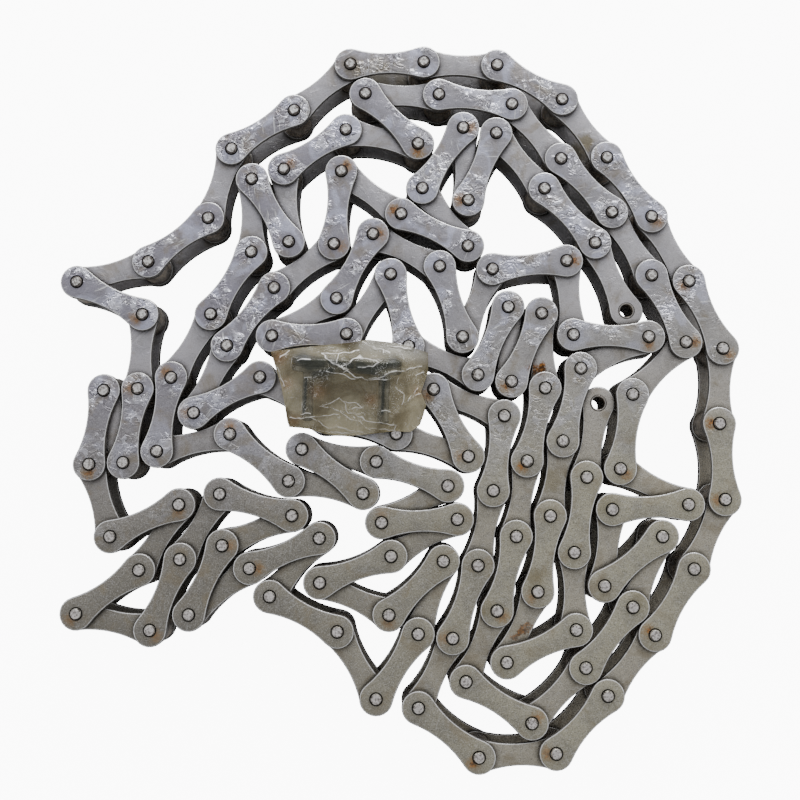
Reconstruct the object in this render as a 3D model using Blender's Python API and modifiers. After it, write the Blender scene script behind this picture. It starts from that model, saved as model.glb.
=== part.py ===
"""Five metres of steel conveyor roller chain, laid flat in a nested heap, with its bag of joining parts.

Metres, +Z up. The chain lies on the plane z = 0, on the ends of its pins, and the origin is under the
middle of the heap. Links are numbered along the chain from one free end: odd ones are inner links (two
inner plates on two bushes, with rollers), even ones are outer links (two outer plates on two pins).
"""

from math import atan2, cos, hypot, pi, radians, sin

import bmesh
import bpy
import numpy as np
from mathutils import Matrix, Vector

MM = 0.001

# The chain: a long-life conveyor roller chain of 38.1 mm pitch, 1.68 kg to the metre
PITCH = 38.1 * MM
ROLLER_DIAMETER = 15.24 * MM
INNER_WIDTH = 22.23 * MM
PIN_DIAMETER = 5.74 * MM
PIN_HEAD_HEIGHT = 1.7 * MM
BUSH_BORE = 6.5 * MM
PLATE_DEPTH = 17.0 * MM
PLATE_WAIST = 12.0 * MM
PLATE_THICKNESS = 2.8 * MM
PLATE_SIDE_GAP = 0.43 * MM
STRAND_CLEARANCE = 0.3 * MM
SEAT_GAP = 0.3 * MM

# Solids run this far into the plates that they are joined to
EMBED = 0.5 * MM

# A new cylinder has its first corner towards +Y
FIRST_CORNER = pi / 2

# Faces that meet at less than this are one flat face
FLAT_ANGLE = radians(1.0)

# The waist's one corner lies inside its arc by this share of the arc's rise at a quarter of the length,
# so that the straight sides stay close to the arc
WAIST_CUT = 1.5

# How finely round shapes are cut
PLATE_END_SEGMENTS = 3
ROLLER_SIDES = 5
TOP_HEAD_SIDES = 6
BOTTOM_HEAD_SIDES = 3
HIDDEN_PIN_SIDES = 4
NECK_SIDES = 3
HINGE_SIDES = 8
OPEN_BORE_SIDES = 12

# Links in one solid, between the two free end links that stay single
LINKS_IN_RUN = 3

# The bag of joining parts: a thin film pouch on top of the chain
FILM = 0.4 * MM
BAG_BACK_LIP = 4.5 * MM
BAG_FRONT_LIP = 2.0 * MM
BAG_LEAST_HEIGHT = 1.6 * MM
BAG_HEADROOM = 1.2 * MM
CONNECTING_PIN_LENGTH = 32.0 * MM
CONNECTING_PIN_SIDES = 8
COVER_GAP = 1.0 * MM
COVER_BORE = 6.6 * MM

# The camera that the pin places were read with: sizes in pixels of the 800 pixel photograph
FOCAL_PIXELS = 1404.0
VIEW_CENTRE_PIXELS = (369.6, 342.6)
CAMERA_TILT = radians(5.95)
CAMERA_ROLL = radians(1.2)
CAMERA_HEIGHT = 746.0 * MM

# Pin ends in pixels, read by eye along the chain from one free end to the other
PIN_PIXELS = [
    (627.5, 310), (595.5, 242), (545, 187.5), (495, 132.5), (468.5, 199), (463, 126.5), (423, 186),
    (468.5, 245), (401.5, 212), (341, 170), (334.5, 242), (272.5, 286.5), (226.5, 345), (192.5, 413),
    (259.5, 377.5), (323, 417), (397.5, 435), (469.5, 455.5), (434.5, 388), (505, 415.5), (494.5, 490.5),
    (478.5, 565), (453.5, 639), (418.5, 708.5), (478, 758), (554.5, 754), (606, 697), (653.5, 635),
    (694.5, 570), (724, 499), (719.5, 423), (722.5, 347), (689, 280), (651, 215.5), (606.5, 156.5),
    (560.5, 99.5), (496, 65.5), (422.5, 61), (349.5, 64), (293, 110), (231.5, 149), (208.5, 217.5),
    (147.5, 261), (76.5, 281.5), (141, 314), (137, 389), (122, 462.5), (103.5, 390), (89.5, 463.5),
    (109.5, 536.5), (178, 505.5), (137.5, 571.5), (76, 613), (150, 630), (178.5, 560), (219, 495),
    (291.5, 516.5), (221.5, 546), (188.5, 614.5), (249, 568.5), (319.5, 539), (268.5, 597), (337, 632),
    (377, 699), (419, 635), (443.5, 561.5), (389, 616), (319.5, 583), (391.5, 556.5), (458.5, 519.5),
    (381.5, 523.5), (449.5, 485.5), (377.5, 461), (302, 449.5), (363.5, 494), (287.5, 480.5), (229, 433),
    (155.5, 452), (170.5, 377.5), (210.5, 314), (251.5, 252), (251.5, 178.5), (288.5, 241), (283, 168),
    (345.5, 129), (419, 142), (366, 93), (439.5, 93), (511.5, 104.5), (561.5, 158), (612, 212), (652, 275),
    (686.5, 342), (633, 394.5), (620.5, 469), (688.5, 504.5), (613, 511), (605, 587), (662.5, 536),
    (634, 608), (586, 668), (532, 724.5), (467, 684), (496.5, 611.5), (516.5, 537), (528.5, 462),
    (546.5, 388), (541.5, 312.5), (513, 381.5), (509, 305.5), (479, 374.5), (409.5, 345), (391.5, 272.5),
    (346, 333), (271, 334.5), (337, 296.5), (373.5, 232), (441.5, 265), (463.5, 336.5), (493.5, 268),
    (567.5, 259.5), (575, 333.5), (650, 336.5), (581.5, 367.5), (563.5, 441), (551, 516), (536.5, 592),
    (507.5, 663.5), (577, 630.5), (574.5, 553.5), (587, 477.5), (598, 402),
]

# The bag in pixels, read by eye: its front edge and its back edge, from the left to the open right end
BAG_FRONT_PIXELS = [(289, 427), (298, 428), (308, 430), (326, 435), (366, 434), (384, 432), (399, 431),
                    (411, 431), (420, 425)]
BAG_BACK_PIXELS = [(271, 352), (286, 350), (300, 348), (322, 345.5), (363, 341), (384, 342), (402, 345),
                   (416, 349), (428, 353)]
# How full the film stands at each of those places, from 0, flat, to 1: over the pins and over the plates
BAG_FRONT_FILL = [0.15, 0.55, 1.0, 0.65, 0.65, 1.0, 0.65, 0.4, 0.2]
BAG_REAR_FILL = [0.2, 0.72, 1.0, 0.97, 0.97, 1.0, 0.75, 0.4, 0.25]
# Where along a section, from the front to the back, the film bends: over the pins' tips, before the plates,
# over the plates' two edges, and behind them, where it hangs at a share of its full height
BAG_BENDS = (0.05, 0.48, 0.57, 0.8, 0.94)
# The plates lie further back at the left end, by this share of a section
BAG_SLANT = 0.08
BAG_BEHIND = 0.5
CONNECTING_PLATE_PIXELS = [(308.5, 360), (385.5, 363)]

# Settling of the strands against each other
PULLED_ROUNDS = 300
FREE_ROUNDS = 300
FIRST_PULL = 0.1
DISCS_IN_PLATE = 7

END_RADIUS = PLATE_DEPTH / 2
WAIST_RADIUS = ((PITCH / 2) ** 2 + (PLATE_WAIST / 2) ** 2 - END_RADIUS ** 2) / (2 * END_RADIUS - PLATE_WAIST)
WAIST_CENTRE = PLATE_WAIST / 2 + WAIST_RADIUS

# Heights, from the floor up: pin head, outer plate, gap, inner plate, roller and the same again above
BOTTOM_OUTER = PIN_HEAD_HEIGHT
BOTTOM_INNER = BOTTOM_OUTER + PLATE_THICKNESS + PLATE_SIDE_GAP
ROLLER_BASE = BOTTOM_INNER + PLATE_THICKNESS
TOP_INNER = ROLLER_BASE + INNER_WIDTH
TOP_OUTER = TOP_INNER + PLATE_THICKNESS + PLATE_SIDE_GAP
CHAIN_TOP = TOP_OUTER + PLATE_THICKNESS + PIN_HEAD_HEIGHT
BAG_BASE = CHAIN_TOP + SEAT_GAP
BAG_FLOOR = BAG_BASE + FILM

# The connecting link stands on the edge of its cover plate and on the tips of its pins, leaning forward
COVER_OFFSET = PLATE_THICKNESS + COVER_GAP
CONNECTING_LEAN = atan2(END_RADIUS - PIN_DIAMETER / 2, CONNECTING_PIN_LENGTH - COVER_OFFSET - PLATE_THICKNESS)
CONNECTING_CENTRE = (BAG_FLOOR + SEAT_GAP + END_RADIUS * cos(CONNECTING_LEAN)
                     + (COVER_OFFSET + PLATE_THICKNESS / 2) * sin(CONNECTING_LEAN))


def clear_scene():
    for existing in list(bpy.data.objects):
        bpy.data.objects.remove(existing, do_unlink=True)


def make_collection(name):
    collection = bpy.data.collections.new(name)
    bpy.context.scene.collection.children.link(collection)
    return collection


def make_material(name, colour, roughness, metallic, alpha=1.0):
    material = bpy.data.materials.new(name)
    material.use_nodes = True
    shader = material.node_tree.nodes["Principled BSDF"]
    shader.inputs["Base Color"].default_value = (*colour, 1.0)
    shader.inputs["Roughness"].default_value = roughness
    shader.inputs["Metallic"].default_value = metallic
    shader.inputs["Alpha"].default_value = alpha
    return material


def floor_places(pixels, height):
    """The places on a level plane that pixels of the photograph show, in metres."""
    across, along = (np.array(pixels, float) - VIEW_CENTRE_PIXELS).T / FOCAL_PIXELS
    rays = np.stack([across, -along, -np.ones(len(across))], axis=1)
    turn = Matrix.Rotation(CAMERA_ROLL, 3, "Y") @ Matrix.Rotation(CAMERA_TILT, 3, "X")
    rays = rays @ np.array(turn).T
    reach = (height - CAMERA_HEIGHT) / rays[:, 2]
    return rays[:, :2] * np.reshape(reach, (-1, 1))


def half_depth(along):
    """Half the plate's depth at a distance from its middle, between the two pins."""
    return hypot(along, WAIST_CENTRE) - WAIST_RADIUS


def hold_pitch(places):
    """Moves both ends of each link until the link is one pitch long, every second link at a time."""
    for first in (0, 1):
        steps = places[first + 1::2] - places[first:-1:2]
        lengths = np.linalg.norm(steps, axis=1, keepdims=True)
        moves = steps * (0.5 * (1 - PITCH / lengths))
        places[first:-1:2] += moves
        places[first + 1::2] -= moves


def strand_discs(places, starts):
    """The plates of one level as rows of discs: their centres, radii, and shares of each link's far pin."""
    shares = np.linspace(0, 1, DISCS_IN_PLATE)
    radii = [half_depth((share - 0.5) * PITCH) for share in shares]
    centres = places[starts, None] * (1 - shares)[:, None] + places[starts + 1, None] * shares[:, None]
    return centres.reshape(-1, 2), np.tile(radii, len(starts)), np.tile(shares, len(starts))


def near_pairs(places, starts):
    """Pairs of discs of different plates that could touch while the strands settle."""
    centres, radii, _ = strand_discs(places, starts)
    links = np.repeat(np.arange(len(starts)), DISCS_IN_PLATE)
    gaps = np.linalg.norm(centres[:, None] - centres[None], axis=2) - radii[:, None] - radii[None]
    return np.nonzero(np.triu((links[:, None] != links[None]) & (gaps < PLATE_DEPTH / 2)))


def keep_apart(places, starts, pairs):
    """Pushes apart the plates of one level that would touch."""
    centres, radii, shares = strand_discs(places, starts)
    one, other = pairs
    offsets = centres[one] - centres[other]
    gaps = np.linalg.norm(offsets, axis=1)
    lacking = np.maximum(radii[one] + radii[other] + STRAND_CLEARANCE - gaps, 0)
    push = offsets * (0.25 * lacking / gaps)[:, None]
    for disc, sign in ((one, 1), (other, -1)):
        first = starts[disc // DISCS_IN_PLATE]
        share = shares[disc][:, None]
        np.add.at(places, first, sign * push * (1 - share))
        np.add.at(places, first + 1, sign * push * share)


def pin_places():
    """The centre of every pin seen from above, with all links one pitch long and no strands touching.

    Also returns the scale and the middle that turn a place read from the photograph into the part's own.
    """
    places = floor_places(PIN_PIXELS, CHAIN_TOP)
    bush_ends = floor_places(PIN_PIXELS, TOP_OUTER)
    places[0], places[-1] = bush_ends[0], bush_ends[-1]
    scale = PITCH / np.linalg.norm(np.diff(places, axis=0), axis=1).mean()
    places *= scale
    read_places = places.copy()
    levels = [np.arange(kind, len(places) - 1, 2) for kind in (0, 1)]
    pairs = [near_pairs(places, starts) for starts in levels]
    for settled in range(PULLED_ROUNDS + FREE_ROUNDS):
        pull = FIRST_PULL * max(0, 1 - settled / PULLED_ROUNDS)
        places += (read_places - places) * pull
        for starts, level_pairs in zip(levels, pairs):
            keep_apart(places, starts, level_pairs)
        hold_pitch(places)
    corners = np.concatenate([plate_corners(places, link) for link in range(len(places) - 1)])
    middle = (corners.min(axis=0) + corners.max(axis=0)) / 2
    return places - middle, scale, middle


def plate_outline():
    """Corners of a plate about its middle, along X: two round ends and a waist on each side."""
    corners = []
    meet = atan2(WAIST_CENTRE, -PITCH / 2)
    waist = PLATE_WAIST / 2 - WAIST_CUT * (half_depth(PITCH / 4) - PLATE_WAIST / 2)
    for side in (1, -1):
        for step in range(PLATE_END_SEGMENTS + 1):
            angle = -meet + 2 * meet * step / PLATE_END_SEGMENTS
            corners.append((side * (PITCH / 2 + END_RADIUS * cos(angle)), side * END_RADIUS * sin(angle)))
        corners.append((0.0, side * waist))
    return corners


def plate_corners(places, link):
    """Corners of one link's plate where it lies."""
    along = (places[link + 1] - places[link]) / PITCH
    middle = (places[link] + places[link + 1]) / 2
    return middle + np.array(plate_outline()) @ np.array([along, (-along[1], along[0])])


def mesh_from_outline(name, corners, thickness):
    """A flat plate about z = 0, from a filled and extruded curve."""
    curve = bpy.data.curves.new(name, "CURVE")
    curve.dimensions = "2D"
    curve.fill_mode = "BOTH"
    curve.extrude = thickness / 2
    spline = curve.splines.new("POLY")
    spline.points.add(len(corners) - 1)
    for point, (x, y) in zip(spline.points, corners):
        point.co = (x, y, 0.0, 1.0)
    spline.use_cyclic_u = True
    holder = bpy.data.objects.new(name, curve)
    bpy.context.scene.collection.objects.link(holder)
    bpy.context.view_layer.update()
    evaluated = holder.evaluated_get(bpy.context.evaluated_depsgraph_get())
    mesh = bpy.data.meshes.new_from_object(evaluated)
    bpy.data.objects.remove(holder, do_unlink=True)
    shape = bmesh.new()
    shape.from_mesh(mesh)
    bmesh.ops.remove_doubles(shape, verts=shape.verts, dist=1e-7)
    bmesh.ops.recalc_face_normals(shape, faces=shape.faces)
    bmesh.ops.dissolve_limit(shape, angle_limit=FLAT_ANGLE, verts=shape.verts, edges=shape.edges)
    shape.to_mesh(mesh)
    shape.free()
    return mesh


def add_copy(shape, mesh, matrix):
    """Adds a copy of a mesh, placed by a matrix, to a bmesh."""
    known = len(shape.verts)
    shape.from_mesh(mesh)
    shape.verts.ensure_lookup_table()
    bmesh.ops.transform(shape, matrix=matrix, verts=shape.verts[known:])


def add_post(shape, place, low, high, diameter, sides, heading=0.0):
    """Adds an upright post with flat ends to a bmesh, with one corner towards the heading."""
    turn = Matrix.Rotation(heading - FIRST_CORNER, 4, "Z")
    matrix = Matrix.Translation((place[0], place[1], (low + high) / 2)) @ turn
    bmesh.ops.create_cone(shape, cap_ends=True, segments=sides, radius1=diameter / 2,
                          radius2=diameter / 2, depth=high - low, matrix=matrix)


def make_object(name, shape, collection, material=None):
    """Turns a bmesh into an object of a collection."""
    mesh = bpy.data.meshes.new(name)
    shape.to_mesh(mesh)
    shape.free()
    made = bpy.data.objects.new(name, mesh)
    if material:
        mesh.materials.append(material)
    collection.objects.link(made)
    return made


def make_cutter(name, shape, collection):
    cutter = make_object(name, shape, collection)
    cutter.hide_render = True
    cutter.display_type = "WIRE"
    return cutter


def add_boolean(target, operand, operation):
    modifier = target.modifiers.new(operation.title() + " " + operand.name, "BOOLEAN")
    modifier.object = operand
    modifier.operation = operation
    modifier.solver = "EXACT"


def corner_diameter(across_flats, sides):
    """The diameter over corners of a polygon that a given round size just fits in."""
    return across_flats / cos(pi / sides)


def link_heading(places, link):
    along = places[link + 1] - places[link]
    return atan2(along[1], along[0])


def link_matrix(places, link, height):
    middle = (places[link] + places[link + 1]) / 2
    return Matrix.Translation((*middle, height)) @ Matrix.Rotation(link_heading(places, link), 4, "Z")


def add_plates(shape, places, link, plate):
    """Adds the lower and the upper plate of one link, inner or outer."""
    heights = (BOTTOM_INNER, TOP_INNER) if is_inner(link) else (BOTTOM_OUTER, TOP_OUTER)
    for height in heights:
        add_copy(shape, plate, link_matrix(places, link, height + PLATE_THICKNESS / 2))


def add_heads(shape, place):
    """Adds the riveted ends of a pin, above and below the outer plates."""
    above = CHAIN_TOP - PIN_HEAD_HEIGHT - EMBED
    add_post(shape, place, above, CHAIN_TOP, PIN_DIAMETER, TOP_HEAD_SIDES)
    add_post(shape, place, 0.0, PIN_HEAD_HEIGHT + EMBED, PIN_DIAMETER, BOTTOM_HEAD_SIDES)


def add_rollers(shape, places, link):
    """Adds the two rollers of an inner link, each with a corner towards the other."""
    heading = link_heading(places, link)
    for pin, towards in ((link, heading), (link + 1, heading + pi)):
        add_post(shape, places[pin], ROLLER_BASE - EMBED, TOP_INNER + EMBED, ROLLER_DIAMETER,
                 ROLLER_SIDES, towards)


def add_necks(shape, place):
    """Adds the pin where it crosses from an outer plate to an inner plate of the same solid."""
    add_post(shape, place, BOTTOM_INNER - PLATE_SIDE_GAP - EMBED, BOTTOM_INNER + EMBED,
             PIN_DIAMETER, NECK_SIDES)
    add_post(shape, place, TOP_OUTER - PLATE_SIDE_GAP - EMBED, TOP_OUTER + EMBED, PIN_DIAMETER, NECK_SIDES)


def add_long_pin(shape, place, sides):
    """Adds a pin that reaches through the bush of another solid, from outer plate to outer plate."""
    add_post(shape, place, BOTTOM_OUTER + PLATE_THICKNESS - EMBED, TOP_OUTER + EMBED, PIN_DIAMETER, sides)


def add_bore(shape, place, sides):
    """Adds the cutter of an open bush: round over its flats, so a pin of as many sides is clear in it."""
    size = corner_diameter(BUSH_BORE, sides) if sides != HIDDEN_PIN_SIDES else BUSH_BORE
    add_post(shape, place, BOTTOM_INNER - EMBED, TOP_INNER + PLATE_THICKNESS + EMBED, size, sides)


def is_inner(link):
    """Inner and outer links alternate, and the chain begins and ends with an inner one."""
    return link % 2 == 0


def pin_sides_at(pin, last_pin):
    """Pins that an end link turns on are rounder than those inside the heap."""
    return HINGE_SIDES if pin in (1, last_pin - 1) else HIDDEN_PIN_SIDES


def make_run(name, places, first, last, plate, collections, material):
    """One solid of several links in a row, from link first to link last, both counted from 0."""
    last_pin = len(places) - 1
    plates, posts, bores = bmesh.new(), bmesh.new(), bmesh.new()
    for link in range(first, last + 1):
        add_plates(plates, places, link, plate)
        if is_inner(link):
            add_rollers(posts, places, link)
    for pin in range(first, last + 2):
        links = [link for link in (pin - 1, pin) if first <= link <= last]
        has_inner = any(is_inner(link) for link in links)
        has_outer = not all(is_inner(link) for link in links)
        if has_outer:
            add_heads(posts, places[pin])
        if has_inner and has_outer:
            add_necks(posts, places[pin])
        elif has_outer:
            add_long_pin(posts, places[pin], pin_sides_at(pin, last_pin))
        elif pin in (0, last_pin):
            add_bore(bores, places[pin], OPEN_BORE_SIDES)
        else:
            add_bore(bores, places[pin], pin_sides_at(pin, last_pin))
    run = make_object(name, plates, collections["parts"], material)
    add_boolean(run, make_cutter(name + "_posts", posts, collections["cutters"]), "UNION")
    if bores.verts:
        add_boolean(run, make_cutter(name + "_bores", bores, collections["cutters"]), "DIFFERENCE")
    else:
        bores.free()
    return run


def make_chain(places, collections, material):
    """The two single end links and the runs between them."""
    plate = mesh_from_outline("link_plate", plate_outline(), PLATE_THICKNESS)
    last_link = len(places) - 2
    make_run("end_link_a", places, 0, 0, plate, collections, material)
    make_run("end_link_b", places, last_link, last_link, plate, collections, material)
    for number, first in enumerate(range(1, last_link, LINKS_IN_RUN), 1):
        last = min(first + LINKS_IN_RUN, last_link) - 1
        make_run(f"chain_run_{number:02d}", places, first, last, plate, collections, material)


def connecting_frame(scale, middle):
    """The matrix of the connecting link: X from pin to pin, Z along the pins, forward and down."""
    left, right = floor_places(CONNECTING_PLATE_PIXELS, CONNECTING_CENTRE) * scale - middle
    across = Vector((*(right - left), 0.0)).normalized()
    forward = Vector((across.y, -across.x, 0.0))
    along_pins = forward * cos(CONNECTING_LEAN) - Vector((0.0, 0.0, sin(CONNECTING_LEAN)))
    up = along_pins.cross(across)
    turn = Matrix((across, up, along_pins)).transposed().to_4x4()
    return Matrix.Translation((*((left + right) / 2), CONNECTING_CENTRE)) @ turn


def add_pins(shape, low, high, diameter):
    for side in (-1, 1):
        add_post(shape, (side * PITCH / 2, 0.0), low, high, diameter, CONNECTING_PIN_SIDES)


def make_connecting_link(frame, collections, material):
    """An outer plate with its two pins, and the loose cover plate pushed onto them."""
    link_plate = mesh_from_outline("connecting_link_plate", plate_outline(), PLATE_THICKNESS)
    shape, pins = bmesh.new(), bmesh.new()
    add_copy(shape, link_plate, Matrix())
    link = make_object("connecting_link", shape, collections["parts"], material)
    tip = CONNECTING_PIN_LENGTH - PLATE_THICKNESS / 2
    add_pins(pins, PLATE_THICKNESS / 2 - EMBED, tip, PIN_DIAMETER)
    pin_cutter = make_cutter("connecting_link_pins", pins, collections["cutters"])
    shape, bores = bmesh.new(), bmesh.new()
    add_copy(shape, link_plate, Matrix.Translation((0.0, 0.0, COVER_OFFSET)))
    cover = make_object("cover_plate", shape, collections["parts"], material)
    size = corner_diameter(COVER_BORE, CONNECTING_PIN_SIDES)
    add_pins(bores, COVER_OFFSET - PLATE_THICKNESS, COVER_OFFSET + PLATE_THICKNESS, size)
    bore_cutter = make_cutter("cover_plate_bores", bores, collections["cutters"])
    for made in (link, cover, pin_cutter, bore_cutter):
        made.matrix_world = frame
    add_boolean(link, pin_cutter, "UNION")
    add_boolean(cover, bore_cutter, "DIFFERENCE")


def bag_section(front, back, front_fill, rear_fill, slant):
    """One ring of the pouch, from its front edge under the parts, up its back and over them."""
    slope = sin(CONNECTING_LEAN)
    above = FILM + BAG_HEADROOM
    over_tips = BAG_FLOOR + SEAT_GAP + PIN_DIAMETER + above
    over_pins = CONNECTING_CENTRE - (COVER_OFFSET + PLATE_THICKNESS / 2) * slope + PIN_DIAMETER / 2 + above
    over_plates = CONNECTING_CENTRE + END_RADIUS + above
    behind = BAG_BASE + BAG_BEHIND * (over_plates - BAG_BASE)
    tips, before, plates, rear, hanging = BAG_BENDS
    bends = [
        (1.0, BAG_BASE + BAG_BACK_LIP, rear_fill),
        (hanging, behind, rear_fill),
        (rear + slant, over_plates, rear_fill),
        (plates + slant, over_plates, rear_fill),
        (before + slant, over_pins, front_fill),
        (tips, over_tips, front_fill),
        (0.0, BAG_BASE + BAG_FRONT_LIP, front_fill),
    ]
    ring = [(0.0, BAG_BASE), (1.0, BAG_BASE)]
    ring += [(share, BAG_BASE + max(fill * (height - BAG_BASE), BAG_LEAST_HEIGHT))
             for share, height, fill in bends]
    return [(*(front + (back - front) * share), height) for share, height in ring]


def make_bag(scale, middle, collections, material):
    """The film pouch, open at its right end, lofted through its sections and given its thickness."""
    fronts = floor_places(BAG_FRONT_PIXELS, BAG_BASE) * scale - middle
    backs = floor_places(BAG_BACK_PIXELS, BAG_BASE) * scale - middle
    shape = bmesh.new()
    rings = []
    slants = np.linspace(BAG_SLANT, 0.0, len(fronts))
    for station in zip(fronts, backs, BAG_FRONT_FILL, BAG_REAR_FILL, slants):
        rings.append([shape.verts.new(corner) for corner in bag_section(*station)])
    for one, other in zip(rings, rings[1:]):
        for here, there in zip(range(len(one)), [*range(1, len(one)), 0]):
            shape.faces.new((one[here], one[there], other[there], other[here]))
    shape.faces.new(rings[0])
    bmesh.ops.recalc_face_normals(shape, faces=shape.faces)
    bag = make_object("parts_bag", shape, collections["parts"], material)
    film = bag.modifiers.new("Film", "SOLIDIFY")
    film.thickness = FILM
    film.offset = -1.0
    film.use_even_offset = True
    return bag


def main():
    clear_scene()
    collections = {"parts": make_collection("conveyor_chain_heap"), "cutters": make_collection("cutters")}
    steel = make_material("chain_steel", (0.33, 0.33, 0.34), 0.42, 0.9)
    bright = make_material("connecting_steel", (0.2, 0.2, 0.21), 0.35, 0.9)
    film = make_material("oily_film", (0.55, 0.47, 0.34), 0.2, 0.0, 0.5)
    places, scale, middle = pin_places()
    make_chain(places, collections, steel)
    make_connecting_link(connecting_frame(scale, middle), collections, bright)
    make_bag(scale, middle, collections, film)


main()
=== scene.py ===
"""Looks of the roller chain heap: detailed plates, pins, bushes and rollers, and the film bag."""

from functools import reduce
from math import atan2, cos, hypot, pi, radians, sin
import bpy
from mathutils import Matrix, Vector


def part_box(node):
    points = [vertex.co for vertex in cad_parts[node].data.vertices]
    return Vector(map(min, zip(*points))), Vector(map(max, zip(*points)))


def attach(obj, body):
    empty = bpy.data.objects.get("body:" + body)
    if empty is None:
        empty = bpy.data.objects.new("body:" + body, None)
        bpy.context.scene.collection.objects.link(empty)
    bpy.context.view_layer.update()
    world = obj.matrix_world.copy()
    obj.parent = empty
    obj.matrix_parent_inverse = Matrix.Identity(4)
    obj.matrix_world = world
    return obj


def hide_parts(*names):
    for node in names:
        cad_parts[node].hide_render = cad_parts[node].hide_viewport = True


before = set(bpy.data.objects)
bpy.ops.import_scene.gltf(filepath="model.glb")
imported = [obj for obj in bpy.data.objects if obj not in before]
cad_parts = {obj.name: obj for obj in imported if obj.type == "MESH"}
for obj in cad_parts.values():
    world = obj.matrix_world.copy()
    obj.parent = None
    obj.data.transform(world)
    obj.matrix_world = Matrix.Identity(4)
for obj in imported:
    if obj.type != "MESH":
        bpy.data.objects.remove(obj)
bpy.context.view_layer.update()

from types import SimpleNamespace

import bmesh
import bpy
import numpy as np
from mathutils import Matrix, Vector
from mathutils.bvhtree import BVHTree
from mathutils.noise import noise

MM = 0.001

# The chain's sizes, as in the solids
PITCH = 38.1 * MM
ROLLER_DIAMETER = 15.24 * MM
INNER_WIDTH = 22.23 * MM
PIN_DIAMETER = 5.74 * MM
PIN_HEAD_HEIGHT = 1.7 * MM
BUSH_BORE = 6.5 * MM
PLATE_DEPTH = 17.0 * MM
PLATE_WAIST = 12.0 * MM
PLATE_THICKNESS = 2.8 * MM
PLATE_SIDE_GAP = 0.43 * MM
STRAND_CLEARANCE = 0.3 * MM
LINKS_IN_RUN = 3

# Fine sizes that only show here
PLATE_EDGE_RADIUS = 0.7 * MM
HOLE_CHAMFER = 0.2 * MM
PIN_HOLE_DIAMETER = 6.5 * MM
# The ring around a riveted pin's end, where the outer plate's hole is wider than the pin
RING_DEPTH = 0.9 * MM
RING_SLOPE = 0.1 * MM
PIN_FIT = 0.02 * MM
BUSH_DIAMETER = 8.2 * MM
BUSH_EDGE = 0.25 * MM
BUSH_STAND_OUT = 0.1 * MM
ROLLER_EDGE = 0.6 * MM
ROLLER_BORE_GAP = 0.2 * MM
ROLLER_END_PLAY = 0.3 * MM
# How far rollers and pins are turned about their own axes, in radians
TURN_SPREAD = 0.25

# The bag of joining parts on top of the chain
SEAT_GAP = 0.3 * MM
FILM = 0.4 * MM
CONNECTING_PIN_LENGTH = 32.0 * MM
COVER_GAP = 1.0 * MM
PLATE_SEEN_WAIST = 11.0 * MM

# The camera, read from the photograph: sizes in pixels of its 800 pixel frame
PHOTO_PIXELS = 800.0
FOCAL_PIXELS = 1404.0
VIEW_CENTRE_PIXELS = (369.6, 342.6)
CAMERA_TILT = radians(5.95)
CAMERA_ROLL = radians(1.2)
CAMERA_HEIGHT = 746.0 * MM

# Pin ends in pixels, read along the chain from one free end to the other
PIN_PIXELS = [
    (627.5, 310), (595.5, 242), (545, 187.5), (495, 132.5), (468.5, 199), (463, 126.5), (423, 186),
    (468.5, 245), (401.5, 212), (341, 170), (334.5, 242), (272.5, 286.5), (226.5, 345), (192.5, 413),
    (259.5, 377.5), (323, 417), (397.5, 435), (469.5, 455.5), (434.5, 388), (505, 415.5), (494.5, 490.5),
    (478.5, 565), (453.5, 639), (418.5, 708.5), (478, 758), (554.5, 754), (606, 697), (653.5, 635),
    (694.5, 570), (724, 499), (719.5, 423), (722.5, 347), (689, 280), (651, 215.5), (606.5, 156.5),
    (560.5, 99.5), (496, 65.5), (422.5, 61), (349.5, 64), (293, 110), (231.5, 149), (208.5, 217.5),
    (147.5, 261), (76.5, 281.5), (141, 314), (137, 389), (122, 462.5), (103.5, 390), (89.5, 463.5),
    (109.5, 536.5), (178, 505.5), (137.5, 571.5), (76, 613), (150, 630), (178.5, 560), (219, 495),
    (291.5, 516.5), (221.5, 546), (188.5, 614.5), (249, 568.5), (319.5, 539), (268.5, 597), (337, 632),
    (377, 699), (419, 635), (443.5, 561.5), (389, 616), (319.5, 583), (391.5, 556.5), (458.5, 519.5),
    (381.5, 523.5), (449.5, 485.5), (377.5, 461), (302, 449.5), (363.5, 494), (287.5, 480.5), (229, 433),
    (155.5, 452), (170.5, 377.5), (210.5, 314), (251.5, 252), (251.5, 178.5), (288.5, 241), (283, 168),
    (345.5, 129), (419, 142), (366, 93), (439.5, 93), (511.5, 104.5), (561.5, 158), (612, 212), (652, 275),
    (686.5, 342), (633, 394.5), (620.5, 469), (688.5, 504.5), (613, 511), (605, 587), (662.5, 536),
    (634, 608), (586, 668), (532, 724.5), (467, 684), (496.5, 611.5), (516.5, 537), (528.5, 462),
    (546.5, 388), (541.5, 312.5), (513, 381.5), (509, 305.5), (479, 374.5), (409.5, 345), (391.5, 272.5),
    (346, 333), (271, 334.5), (337, 296.5), (373.5, 232), (441.5, 265), (463.5, 336.5), (493.5, 268),
    (567.5, 259.5), (575, 333.5), (650, 336.5), (581.5, 367.5), (563.5, 441), (551, 516), (536.5, 592),
    (507.5, 663.5), (577, 630.5), (574.5, 553.5), (587, 477.5), (598, 402),
]

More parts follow.
